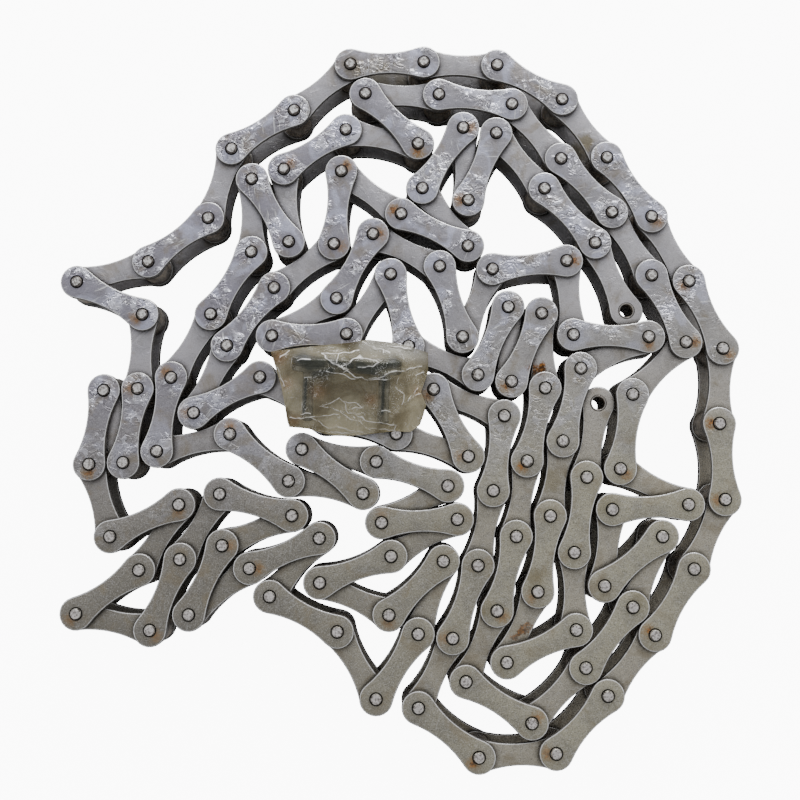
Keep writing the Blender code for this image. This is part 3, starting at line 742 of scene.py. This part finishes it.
def edge_and_shade_layers(n, p):
    """Rubbed pale rims with a painted highlight, dark walls partly grease and partly painted shade, painted
    shade low in the heap that is weaker at the lower right, and painted shade in the gaps and around the
    pins.
    """
    lit = n.times(p.right, n.minus(1.0, p.upper))
    # Painted shade low in the heap, weaker towards the lower right, which counts as lit.
    deep = n.times(n.ramp(p.height, 0.028, 0.008), n.ramp(lit, 0.0, 0.8, 0.66, 0.25))
    # Painted shade from occlusion: darker in the gaps between parts and around the pins.
    crevice_shade = n.add("AmbientOcclusion", {"Distance": 0.003}, samples=4).outputs["AO"]
    # Painted highlight on the rims over their rubbed paleness; dark walls, partly grease and partly painted
    # shade.
    return [(n.times(p.rim, n.ramp(p.mottle, 0.7, 0.45, 0.35, 0.8)), WHITE), (p.wall, (0.115, 0.106, 0.097)),
            (deep, (0.035, 0.034, 0.028)), (n.ramp(crevice_shade, 0.92, 0.45, 0.0, 0.92), (0.022, 0.019, 0.016))]


def plate_relief(n, p):
    """Fine grain, and grease that stands out and has wrinkles."""
    fine = n.bump(p.mottle, 0.0005, n.times(p.face, 0.5, p.calm), Normal=n.bump(p.speckle, 0.00015, 0.4))
    ridge = n.off(n.noise(p.shift, 150.0, 2.0, 0.4, 2.0))
    wrinkle = n.times(n.ramp(ridge, 0.0, 0.1), p.wet, 0.7)
    return n.bump(n.plus(p.grease, wrinkle), 0.0005, p.face, Normal=fine)


def stain_mask(n, place, to_place, spots):
    """Stains on the plates at the places that the photograph shows."""
    ragged = n.times(n.minus(n.noise(place, 300.0, 4.0, 0.7), 0.5), 12 * MM)
    level = n.vector("MULTIPLY", place, (1.0, 1.0, 0.0))
    mask = 0.0
    for pixel, reach, strength in spots:
        x, y = to_place([pixel])[0]
        away = n.plus(n.vector("DISTANCE", level, (x, y, 0.0), output="Value"), ragged)
        mask = n.most(mask, n.ramp(away, 0.3 * reach * MM, reach * MM, strength, 0.0))
    return mask


def heap_tone_with_painted_light(n, place):
    """The steel's tone across the heap, with painted light in it: lilac at the upper left, pale at the upper
    right, olive below, darkest at the lower left.
    """
    parts = n.parts(place)
    right = n.ramp(parts["X"], -0.12, 0.12)
    upper = n.ramp(n.minus(parts["Y"], n.times(parts["X"], 0.15)), -0.07, 0.07)
    # Painted light: these tints, the lighter right and the darker lower left are how the light falls on the
    # heap, not the steel's own colour.
    above = n.mix(right, (0.335, 0.32, 0.385), (0.42, 0.41, 0.45))
    below = n.mix(right, (0.265, 0.245, 0.205), (0.465, 0.435, 0.325))
    return n.mix(upper, below, above), upper, right


def rust_masks(n, p):
    """Where rust and its yellow stain lie: beside a pin, on the side that the plate's rust layer says."""
    local, spot = n.parts(p.local), n.parts(n.attribute("rust", "Vector"))
    from_pin = n.minus(local["X"], n.times(n.math("SIGN", local["X"]), PITCH / 2 / MM))
    away = n.vector("DISTANCE", n.level(from_pin, local["Y"]), n.level(spot["X"], spot["Y"]), output="Value")
    reach = n.plus(away, n.times(n.minus(n.noise(p.shift, 600.0, 4.0, 0.75), 0.5), 9.0))
    strength = n.times(spot["Z"], n.ramp(local["Z"], 0.2, 1.2))
    rust = n.times(n.ramp(reach, 0.6, 2.2, 0.95, 0.0), n.ramp(strength, 0.2, 0.9))
    stain = n.times(n.ramp(reach, 1.2, 5.0, 0.7, 0.0), n.ramp(strength, 0.0, 0.8))
    return rust, stain


def pin_steel():
    """Pins with a bright pressed end that is whiter in the upper heap as painted light, a chamfer painted
    dark as the shadow ring around the end and paler in the lower heap as a painted highlight, and a dark
    shank.
    """
    n = material_nodes("pin_steel")
    place, kind, seed = n.place(), n.attribute("kind"), n.attribute("seed")
    dents = n.noise(place, 800.0, 3.0, 0.6)
    _, upper, _ = heap_tone_with_painted_light(n, place)
    # Painted light: the pressed ends are whiter in the upper part of the heap.
    shine = n.mix(upper, (0.86, 0.81, 0.78), (1.0, 0.99, 0.97))
    bright = n.mix(n.ramp(dents, 0.38, 0.55), (0.3, 0.275, 0.26), shine)
    bright = n.mix(n.times(seed, 0.25), bright, (0.5, 0.46, 0.42))
    # Painted shadow ring around each pin end on the chamfer, with a painted highlight that makes it paler in
    # the lower heap.
    chamfer = n.mix(upper, (0.62, 0.6, 0.56), (0.22, 0.2, 0.18))
    chamfer = n.mix(n.ramp(dents, 0.35, 0.55), (0.05, 0.04, 0.033), chamfer)
    steel = n.layers(bright, (n.ramp(kind, 0.1, 0.4), chamfer), (n.ramp(kind, 0.6, 0.9), SHANK_TONE))
    relief = n.bump(n.noise(place, 450.0, 2.0, 0.6), 0.001, 0.5)
    return n.surface(steel, 0.85, n.ramp(dents, 0.3, 0.7, 0.45, 0.3), relief)


def roller_steel():
    """Dark oiled rollers and bushes with rubbed, browned bands."""
    n = material_nodes("roller_steel")
    smear = n.noise(n.vector("MULTIPLY", n.place(), (1.0, 1.0, 0.25)), 260.0, 4.0, 0.6)
    steel = n.mix(n.ramp(smear, 0.35, 0.7), (0.13, 0.11, 0.088), (0.44, 0.38, 0.31))
    steel = n.mix(n.ramp(n.attribute("kind"), 0.2, 0.6, 1.0, 0.0), steel, (0.33, 0.32, 0.31))
    return n.surface(steel, 0.75, n.ramp(smear, 0.3, 0.7, 0.3, 0.5), n.bump(smear, 0.0001, 0.4))


def dark_steel():
    """The connecting link's dark, oiled steel."""
    n = material_nodes("dark_steel")
    smear = n.noise(n.place(), 240.0, 4.0, 0.6)
    steel = n.mix(n.ramp(smear, 0.35, 0.7), (0.05, 0.052, 0.045), (0.15, 0.15, 0.125))
    return n.surface(steel, 0.7, n.ramp(smear, 0.3, 0.7, 0.28, 0.45), n.bump(smear, 0.0002, 0.4))


def oily_film():
    """Clear film with brown oil on it: tan, patchy, glossy, with highlights painted on its folds, a painted
    pale reflection, film painted darker over the parts in the bag for their dark steel and the shade among
    them, and orange stains.
    """
    n = material_nodes("oily_film")
    place = n.place()
    patches = n.noise(place, 70.0, 4.0, 0.6, 0.5)
    stain, pale, under = (n.attribute(name) for name in ("stain", "pale", "under"))
    dark_parts_and_shade = n.times(n.attribute("dark_parts_and_shade"), n.ramp(patches, 0.3, 0.6, 1.0, 0.8))
    bright = n.times(film_glints(n, place), n.ramp(under, 0.0, 0.1, 1.0, 0.0))
    film = n.mix(n.ramp(patches, 0.35, 0.68), (0.2, 0.165, 0.09), (0.5, 0.45, 0.31))
    # Painted shade with the dark parts seen through: the film is darkened over the parts in the bag.
    oil = n.math("MINIMUM", n.times(dark_parts_and_shade, 1.25), 1.0)
    # Painted light on the film: a pale reflection near the back, and pale highlights along the folds.
    film = n.layers(film, (n.times(pale, 0.75), (0.82, 0.8, 0.72)), (n.times(stain, 0.7), STAIN_TONE),
                    (oil, (0.05, 0.053, 0.04)), (bright, (1.0, 0.99, 0.97)))
    cover = n.plus(n.ramp(patches, 0.35, 0.68, 0.16, 0.3), n.times(stain, 0.35), n.times(dark_parts_and_shade, 0.6),
                   n.times(pale, 0.12), bright)
    n.put(n.shader, "Alpha", n.math("MINIMUM", n.most(cover, under), 1.0))
    return n.surface(film, 0.0, 0.14, n.bump(n.noise(place, 480.0, 3.0, 0.6), 0.0005, 0.7))


def film_glints(n, place):
    """Painted highlights on the film: along its creases, stronger and weaker along their length, and along
    thin curls.
    """
    ridge = n.off(n.noise(place, 230.0, 2.0, 0.5, 1.8))
    where = n.ramp(n.noise(place, 75.0, 2.0), 0.46, 0.6, 0.0, 0.6)
    glint_curls = n.times(n.ramp(ridge, 0.003, 0.012, 1.0, 0.0), where)
    uneven = n.ramp(n.noise(place, 210.0, 3.0, 0.6), 0.38, 0.52, 0.4, 1.0)
    return n.most(n.times(n.attribute("crease_glint"), uneven), glint_curls)


def floor_material():
    """Pale floor that shows as the photograph's white ground without lighting the chain from below."""
    n = material_nodes("floor_white")
    n.put(n.shader, "Emission Color", WHITE)
    n.put(n.shader, "Emission Strength", n.times(n.add("LightPath").outputs["Is Camera Ray"], 10.0))
    return n.surface((0.8, 0.8, 0.8), 0.0, 0.9)


# The chain


def link_heading(places, link):
    along = places[link + 1] - places[link]
    return atan2(along[1], along[0])


def link_matrix(places, link, height, upside_down):
    """Where a plate lies. The lower plate of a link is turned over, so its upper face is out."""
    middle = (places[link] + places[link + 1]) / 2
    turn = Matrix.Rotation(link_heading(places, link), 4, "Z")
    if upside_down:
        turn = turn @ Matrix.Rotation(pi, 4, "X")
    return Matrix.Translation((*middle, height + PLATE_THICKNESS / 2)) @ turn


def rust_at(places, link, pin):
    """Rust beside a pin on a link's top plate: its place from the pin along and across the plate."""
    if pin + 1 not in RUST_SPOTS or is_inner(link):
        return NO_RUST[0]
    right, up, strength = RUST_SPOTS[pin + 1]
    heading = link_heading(places, link)
    x, y = (part / hypot(right, up) * RUST_REACH for part in (right, up))
    return (x * cos(heading) + y * sin(heading), -x * sin(heading) + y * cos(heading), strength)


def at_pin(places, pin, turn=0.0):
    return Matrix.Translation((*places[pin], 0.0)) @ Matrix.Rotation(turn, 4, "Z")


def make_run(kit, node, links, body="chain"):
    """The plates, the rollers with their bushes, and the pins of one CAD node."""
    places, templates, random = kit.places, kit.templates, kit.random
    plates, rollers, pins = [], [], []
    for link in links:
        inner = is_inner(link)
        top_rust = (rust_at(places, link, link), rust_at(places, link, link + 1))
        bottom, top = (BOTTOM_INNER, TOP_INNER) if inner else (BOTTOM_OUTER, TOP_OUTER)
        for height, upside_down, rust in ((bottom, True, NO_RUST), (top, False, top_rust)):
            template = templates["inner_plate" if inner else "outer_plate"]
            plates.append((template, link_matrix(places, link, height, upside_down), rust, random.random()))
        for pin in (link, link + 1):
            placed = at_pin(places, pin, pi / 4 + random.normal() * TURN_SPREAD)
            if inner:
                for title in ("roller", "bush"):
                    rollers.append((templates[title], placed, NO_RUST, random.random()))
            else:
                pressed = random.random() < 0.5 + places[pin][1] / PRESSED_SPREAD
                template = templates["pressed_pin" if pressed else "flat_pin"]
                pins.append((template, placed, NO_RUST, random.random()))
    name = node.replace("chain_", "").replace("_link", "")
    for title, copies in (("plate", plates), ("roller", rollers), ("pin", pins)):
        if copies:
            mesh = copies_mesh(f"{name}_{title}s", copies)
            add_piece(f"{name}_{title}s", mesh, kit.materials[title], [node], body)


def make_chain(places, materials):
    templates = {
        "outer_plate": plate_template(PIN_HOLE_DIAMETER, PIN_DIAMETER - PIN_FIT),
        "inner_plate": plate_template(BUSH_DIAMETER),
        "flat_pin": pin_template(0.81, 0.02),
        "pressed_pin": pin_template(0.7, 0.1),
        "roller": roller_template(),
        "bush": bush_template(),
    }
    kit = SimpleNamespace(places=places, materials=materials, templates=templates,
                          random=np.random.default_rng(7))
    last_link = len(places) - 2
    make_run(kit, "end_link_a", [0], "end_link")
    make_run(kit, "end_link_b", [last_link])
    for number, first in enumerate(range(1, last_link, LINKS_IN_RUN), 1):
        make_run(kit, f"chain_run_{number:02d}", range(first, min(first + LINKS_IN_RUN, last_link)))


# The bag of joining parts


def connecting_frame(scale, middle):
    """The matrix of the connecting link: X from pin to pin, Z along the pins, forward and down."""
    left, right = floor_places(CONNECTING_PLATE_PIXELS, CONNECTING_CENTRE) * scale - middle
    across = Vector((*(right - left), 0.0)).normalized()
    forward = Vector((across.y, -across.x, 0.0))
    along_pins = forward * cos(CONNECTING_LEAN) - Vector((0.0, 0.0, sin(CONNECTING_LEAN)))
    up = along_pins.cross(across)
    turn = Matrix((across, up, along_pins)).transposed().to_4x4()
    return Matrix.Translation((*((left + right) / 2), CONNECTING_CENTRE)) @ turn


def free_pin_template():
    """A pin of the connecting link: riveted at the back of its plate, with a long chamfer at its tip."""
    radius, back, tip = PIN_DIAMETER / 2, -PLATE_THICKNESS / 2, CONNECTING_PIN_LENGTH - PLATE_THICKNESS / 2
    profile = [(0.85 * radius, back - 0.05 * MM), (radius, back + 0.3 * MM), (radius, tip - 1.2 * MM),
               (0.93 * radius, tip - 0.5 * MM), (0.72 * radius, tip)]
    return turned_template(profile, FREE_PIN_STEPS, [RIM, WALL, RIM, RIM], closed=True)[0]


def make_connecting_link(frame_of_link, material):
    """The dark connecting link with its two pins, and the cover plate that is pushed onto them."""
    pin = free_pin_template()
    placed = [(plate_template(PIN_DIAMETER), frame_of_link, NO_RUST, 0.2)]
    for side in (-1, 1):
        placed.append((pin, frame_of_link @ Matrix.Translation((side * PITCH / 2, 0, 0)), NO_RUST, 0.5))
    link = copies_mesh("connecting_link_fine", placed)
    cover_place = frame_of_link @ Matrix.Translation((0, 0, COVER_OFFSET))
    cover = copies_mesh("cover_plate_fine", [(plate_template(PIN_HOLE_DIAMETER), cover_place, NO_RUST, 0.8)])
    add_piece("connecting_link_fine", link, material, ["connecting_link"], "chain")
    add_piece("cover_plate_fine", cover, material, ["cover_plate"], "chain")
    return [link, cover]


BAG_COLUMNS, BAG_ROWS = 361, 201
BAG_COARSE = 5
BAG_EDGE_HEIGHT = 2.0 * MM
# The film stands this far off its parts, starts to sag from here, and lies this far above the chain
FILM_OVER_PARTS = 0.5 * MM
FIRST_SAG = 5 * MM
FLOOR_LIFT = 0.1 * MM
DRAPE_ROUNDS = 1500


def along_line(pixels, count):
    """Points evenly spread along a line of pixels."""
    line = np.array(pixels, float)
    lengths = np.concatenate([[0], np.cumsum(np.linalg.norm(np.diff(line, axis=0), axis=1))])
    shares = np.linspace(0, lengths[-1], count)
    return np.stack([np.interp(shares, lengths, line[:, axis]) for axis in (0, 1)], axis=1)


def bag_grid(scale, middle):
    """Level places of the film's grid, spread between the bag's four edges."""
    front, back = (along_line(line, BAG_COLUMNS) for line in (BAG_FRONT_PIXELS, BAG_BACK_PIXELS))
    left, right = (along_line(line, BAG_ROWS) for line in (BAG_LEFT_PIXELS, BAG_RIGHT_PIXELS))
    u = np.linspace(0, 1, BAG_COLUMNS)[:, None, None]
    v = np.linspace(0, 1, BAG_ROWS)[None, :, None]
    edges = (1 - v) * front[:, None] + v * back[:, None] + (1 - u) * left[None] + u * right[None]
    corners = (1 - v) * ((1 - u) * front[0] + u * front[-1]) + v * ((1 - u) * back[0] + u * back[-1])
    pixels = (edges - corners).reshape(-1, 2)
    places = floor_places(pixels, BAG_BASE + BAG_EDGE_HEIGHT) * scale - middle
    return places.reshape(BAG_COLUMNS, BAG_ROWS, 2)


def heights_below(grid, meshes):
    """How high the bag's contents stand under each grid place."""
    shape = bmesh.new()
    for mesh in meshes:
        shape.from_mesh(mesh)
    tree = BVHTree.FromBMesh(shape)
    shape.free()
    heights = np.full(grid.shape[:2], BAG_FLOOR)
    for (column, row), _ in np.ndenumerate(heights):
        hit = tree.ray_cast(Vector((*grid[column, row], 0.1)), Vector((0, 0, -1)))[0]
        if hit:
            heights[column, row] = hit.z
    return heights


def drape(heights):
    """Lets the film sag onto its contents and down to the bag's edge."""
    columns, rows = heights.shape
    u, v = np.meshgrid(np.linspace(0, 1, columns), np.linspace(0, 1, rows), indexing="ij")
    edge = BAG_BASE + MM * (1.2 + 1.0 * np.sin(9 * u + 4 * v) * np.sin(5 * u) + 3.0 * v)
    held = heights + FILM_OVER_PARTS
    film = np.maximum(held, BAG_BASE + FIRST_SAG)
    for _ in range(DRAPE_ROUNDS):
        film[[0, -1]], film[:, [0, -1]] = edge[[0, -1]], edge[:, [0, -1]]
        film[1:-1, 1:-1] = (film[2:, 1:-1] + film[:-2, 1:-1] + film[1:-1, 2:] + film[1:-1, :-2]) / 4
        film[1:-1, 1:-1] = np.maximum(film, held)[1:-1, 1:-1]
    return film


def to_pixels(points, scale, middle):
    """Where the photograph's camera sees points, in its pixels."""
    camera = np.array([-middle[0], -middle[1], CAMERA_HEIGHT * scale])
    seen = (points - camera) @ np.array(camera_turn())
    return np.array(VIEW_CENTRE_PIXELS) + FOCAL_PIXELS * seen[:, :2] * (1, -1) / -seen[:, 2:]


def distance_to_line(points, line):
    """Each point's distance to a line of straight parts, or to a single place."""
    line = np.reshape(np.array(line, float), (-1, 2))
    nearest = np.linalg.norm(points - line[0], axis=1)
    for start, end in zip(line, line[1:]):
        along = end - start
        share = np.clip((points - start) @ along / (along @ along), 0, 1)
        nearest = np.minimum(nearest, np.linalg.norm(points - start - share[:, None] * along, axis=1))
    return nearest


def fading(away, reach):
    return np.exp(-(away / reach) ** 2)


def marked(pixels, marks):
    """How strongly each point is marked: fully on a mark's line or place, and less and less around it."""
    return np.maximum.reduce([fading(distance_to_line(pixels, line), reach) for line, reach in marks])


def add_folds(grid, film, scale, middle):
    """Creases the draped film: soft folds all over, and the sharp ones that the photograph shows."""
    points = np.concatenate([grid, film[..., None]], axis=2).reshape(-1, 3)
    pixels = to_pixels(points, scale, middle)
    across, along = (np.minimum(shares, 1 - shares) for shares in
                     (np.linspace(0, 1, BAG_COLUMNS), np.linspace(0, 1, BAG_ROWS)))
    free = np.clip(np.minimum.outer(across, 0.6 * along).ravel() / 0.03, 0, 1)
    soft = np.array([noise(Vector(p) * 180.0) + 0.6 * abs(noise(Vector(p) * 420.0)) for p in points])
    points[:, 2] += free * soft * SOFT_FOLD_HEIGHT
    sway = np.array([(noise(Vector(p) * 260.0), noise(Vector(p[::-1]) * 260.0)) for p in points])
    crease_glint = np.zeros(len(points))
    for number, line in enumerate(FOLD_PIXELS):
        away = distance_to_line(pixels + FOLD_SWAY * sway, line)
        strength = 1.0 if number < BRIGHTEST_FOLDS else FAINT_FOLD
        # Painted highlight along each sharp fold, brightest on the first few.
        crease_glint = np.maximum(crease_glint, strength * fading(away, CREASE_REACH))
        points[:, 2] += free * SHARP_FOLD_HEIGHT * fading(away, FOLD_REACH)
    marks = {"crease_glint": crease_glint, "under": 0 * crease_glint, "stain": marked(pixels, STAIN_PIXELS),
             "dark_parts_and_shade": marked(pixels, DARK_PARTS_AND_SHADE_PIXELS), "pale": marked(pixels, PALE_REFLECTION_PIXELS)}
    return points.reshape(BAG_COLUMNS, BAG_ROWS, 3), marks


def sheet_faces(columns, rows, first, flip):
    """The faces of a grid of points, whose first point has this number."""
    corners = (first + column * rows + row for column in range(columns - 1) for row in range(rows - 1))
    faces = [(corner, corner + rows, corner + rows + 1, corner + 1) for corner in corners]
    return [face[::-1] for face in faces] if flip else faces


def make_bag(scale, middle, contents, material):
    """The film: its creased top over the joining parts, and its floor on the chain."""
    grid = bag_grid(scale, middle)
    film = drape(heights_below(grid, contents))
    top, marks = add_folds(grid, film, scale, middle)
    if (BAG_COLUMNS - 1) % BAG_COARSE or (BAG_ROWS - 1) % BAG_COARSE:
        raise ValueError("the bag's floor has to end where its top ends")
    floor = top[::BAG_COARSE, ::BAG_COARSE].copy()
    floor[1:-1, 1:-1, 2] = BAG_BASE + FLOOR_LIFT
    faces = sheet_faces(BAG_COLUMNS, BAG_ROWS, 0, False)
    faces += sheet_faces(*floor.shape[:2], BAG_COLUMNS * BAG_ROWS, True)
    mesh = bpy.data.meshes.new("parts_bag_film")
    mesh.from_pydata(np.concatenate([top.reshape(-1, 3), floor.reshape(-1, 3)]).tolist(), [], faces)
    clear_corner = marked(to_pixels(floor.reshape(-1, 3), scale, middle), CLEAR_CORNER_PIXELS)
    for title, above in marks.items():
        below = 1.0 - 0.75 * clear_corner if title == "under" else 0 * clear_corner
        add_layer(mesh, title, "POINT", np.concatenate([above, below]))
    mesh.update()
    mesh.shade_smooth()
    add_piece("parts_bag_film", mesh, material, ["parts_bag"], "chain")


# Stage

BACK_LIGHT_PLACE = (0.3, 1.5, 0.55)


def make_camera(middle, scale):
    """The photograph's camera, shifted as in a picture that was cut from a larger one."""
    data = bpy.data.cameras.new("camera")
    data.sensor_fit, data.sensor_width = "HORIZONTAL", 36.0
    data.lens = data.sensor_width * FOCAL_PIXELS / PHOTO_PIXELS
    data.shift_x = (PHOTO_PIXELS / 2 - VIEW_CENTRE_PIXELS[0]) / PHOTO_PIXELS
    data.shift_y = (VIEW_CENTRE_PIXELS[1] - PHOTO_PIXELS / 2) / PHOTO_PIXELS
    data.clip_start, data.clip_end = 0.01, 20.0
    camera = bpy.data.objects.new("camera", data)
    camera.matrix_world = (Matrix.Translation((-middle[0], -middle[1], CAMERA_HEIGHT * scale))
                           @ camera_turn().to_4x4())
    bpy.context.scene.collection.objects.link(camera)
    bpy.context.scene.camera = camera


def make_floor():
    bpy.ops.mesh.primitive_plane_add(size=6.0, location=(0, 0, -0.0002))
    floor = bpy.context.object
    floor.name = "floor"
    floor.data.materials.append(floor_material())


def make_light():
    """A pale studio: bright towards the horizon, greyer overhead, and a soft light from the back."""
    world = bpy.data.worlds.new("studio")
    bpy.context.scene.world = world
    n = Nodes(world, "Background")
    sky = n.parts(n.place("Generated"))
    overhead = n.ramp(sky["Z"], 0.0, 0.75, 1.9, 0.62, kind="LINEAR")
    sides = n.ramp(sky["Y"], -0.9, 0.7, 0.45, 1.35, kind="LINEAR")
    n.put(n.shader, "Color", (0.97, 0.98, 1.0))
    n.put(n.shader, "Strength", n.times(overhead, sides))
    light = bpy.data.lights.new("back_light", "AREA")
    light.shape, light.size, light.energy = "SQUARE", 1.0, 22.0
    lamp = bpy.data.objects.new("back_light", light)
    lamp.location = BACK_LIGHT_PLACE
    lamp.rotation_euler = (-Vector(BACK_LIGHT_PLACE)).to_track_quat("-Z", "Y").to_euler()
    bpy.context.scene.collection.objects.link(lamp)


def main():
    places, scale = settled_places()
    middle = frame_middle(places)
    places = places - middle
    make_camera(middle, scale)
    make_light()
    make_floor()
    plate = plate_steel(lambda pixels: floor_places(pixels, CHAIN_TOP) * scale - middle)
    materials = {"plate": plate, "pin": pin_steel(), "roller": roller_steel()}
    make_chain(places, materials)
    contents = make_connecting_link(connecting_frame(scale, middle), dark_steel())
    make_bag(scale, middle, contents, oily_film())


main()
